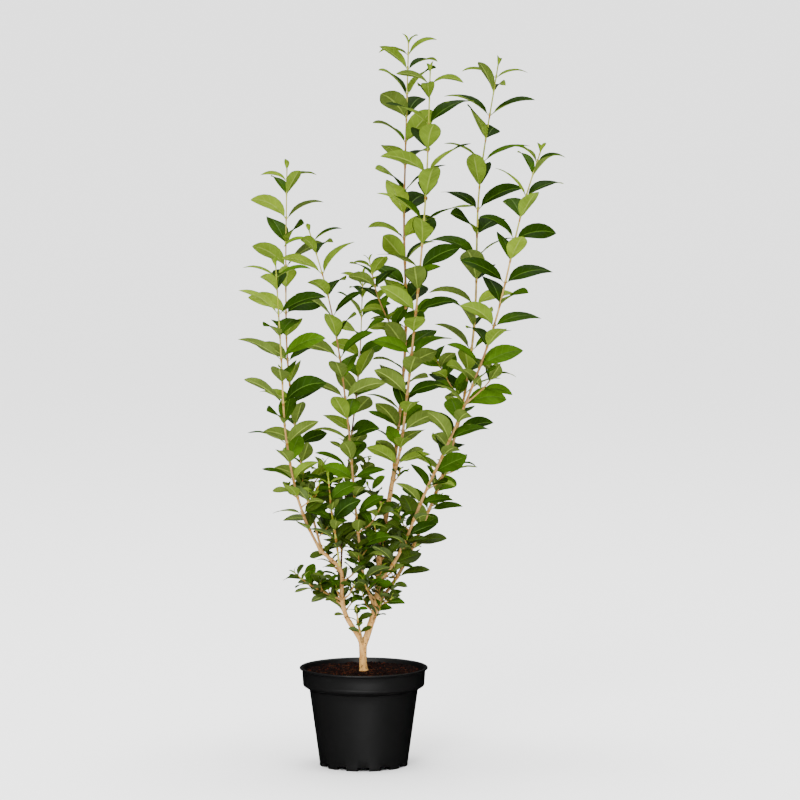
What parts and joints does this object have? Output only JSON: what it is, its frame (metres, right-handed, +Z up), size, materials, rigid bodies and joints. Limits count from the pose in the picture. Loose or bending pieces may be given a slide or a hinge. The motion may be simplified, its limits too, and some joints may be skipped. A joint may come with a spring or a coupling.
{
  "type": "potted privet shrub",
  "caption": "Young multi-stemmed privet with upright leafy shoots on a short forked trunk, in a round black plastic nursery pot filled with compost.",
  "frame": {"origin": "centre of the flat pad under the pot, level with the pot's feet", "axes": "+Z up through the pot's axis, -Y the front of the pictured view, +X to its right"},
  "size_m": [0.428, 0.3116, 0.9774],
  "materials": {
    "pot_plastic": "satin moulded black plastic",
    "compost": "loose, crumbly and matte",
    "bark": "smooth young tan bark with small dark lenticels",
    "foliage": "leathery leaves, satin dark green above and matte pale green below"
  },
  "bodies": {
    "root": {"pot": "pot_plastic", "soil": "compost", "trunk": "bark", "bough_left": "bark", "bough_right": "bark", "leader": "foliage", "leader_front": "foliage", "right_back": "foliage", "right_front": "foliage", "left_outer": "foliage", "left_inner": "foliage", "left_short": "foliage", "left_back": "foliage", "centre": "foliage", "twig_left_low": "foliage", "twig_left_inner": "foliage", "tuft_middle": "foliage", "tuft_right_low": "foliage", "spray_bough_right_1": "foliage", "spray_bough_right_2": "foliage", "spray_bough_right_3": "foliage", "spray_bough_right_4": "foliage", "spray_bough_right_5": "foliage", "spray_bough_right_6": "foliage", "spray_bough_left_1": "foliage", "spray_bough_left_2": "foliage", "spray_bough_left_3": "foliage", "spray_bough_left_4": "foliage"}
  },
  "joints": []
}
